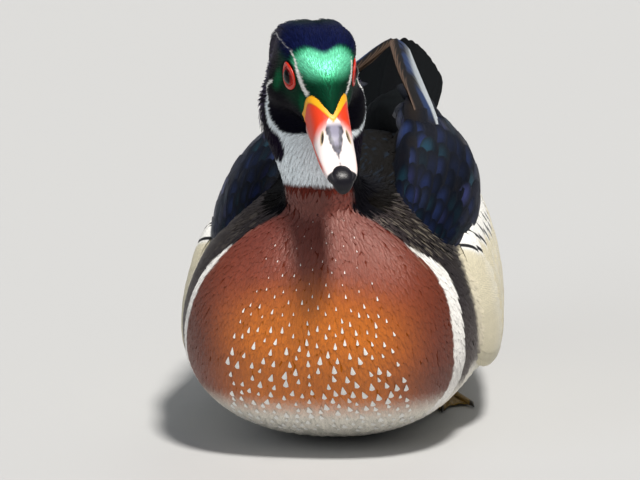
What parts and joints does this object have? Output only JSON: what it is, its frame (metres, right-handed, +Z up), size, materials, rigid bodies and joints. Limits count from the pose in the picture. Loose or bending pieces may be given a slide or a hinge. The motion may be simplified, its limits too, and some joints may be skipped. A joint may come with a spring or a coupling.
{
  "type": "wood duck drake",
  "caption": "Life-size wood duck drake resting on its belly as it floats, wings folded, tail cocked, head turned a little to its left with the bill lowered.",
  "frame": {"origin": "middle of the flat of the belly on which the bird rests", "axes": "+Z up, -Y the way the breast faces, +X the bird's left"},
  "size_m": [0.1374, 0.3738, 0.1849],
  "materials": {
    "body_feathers": "chestnut breast feathers with white spots, dark back, white belly",
    "neck_feathers": "white throat, violet-black nape",
    "head_feathers": "glossy green and violet-black with white lines",
    "crest_feathers": "glossy green, bronze and violet with two white lines",
    "bill": "satin horn, white sides, red base with a yellow edge, black ridge and nail",
    "eye": "wet, red iris and black pupil",
    "wing_feathers": "black with blue, violet and bronze gloss",
    "flank_feathers": "buff with fine dark waves, black and white bars above",
    "foot": "dull yellow scaled skin, dusky webs",
    "tail_feathers": "black with a green gloss"
  },
  "bodies": {
    "root": {"torso": "body_feathers", "neck": "neck_feathers", "head": "head_feathers", "crest": "crest_feathers", "bill_upper": "bill", "bill_lower": "bill", "eye_left": "eye", "eye_right": "eye", "wing_left": "wing_feathers", "wing_right": "wing_feathers", "flank_left": "flank_feathers", "flank_right": "flank_feathers", "leg_left": "foot", "leg_right": "foot", "tail": "tail_feathers"}
  },
  "joints": []
}
